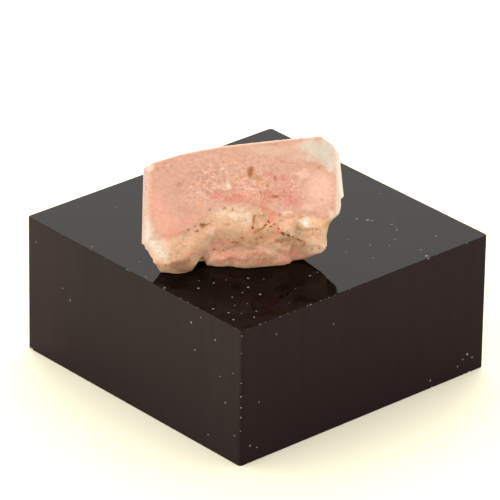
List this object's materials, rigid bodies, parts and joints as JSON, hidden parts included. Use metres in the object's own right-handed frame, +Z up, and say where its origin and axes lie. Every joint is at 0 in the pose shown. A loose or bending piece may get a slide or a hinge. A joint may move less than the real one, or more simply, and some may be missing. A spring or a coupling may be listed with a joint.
{
  "type": "massive fluorite",
  "caption": "Pink frosted fluorite, a broken massive lump with one large flat crystal face, lying on a square polished black display block.",
  "frame": {"origin": "centre of the display block's underside", "axes": "+Z up, +X and +Y along the block's sides; the stone's big face looks towards +X and -Y"},
  "size_m": [0.033, 0.033, 0.0263],
  "materials": {
    "frosted_fluorite": "frosted translucent pink, cream and icy grey",
    "polished_black": "polished black top, satin sawn sides"
  },
  "bodies": {
    "root": {"fluorite": "frosted_fluorite", "display_block": "polished_black"}
  },
  "joints": []
}
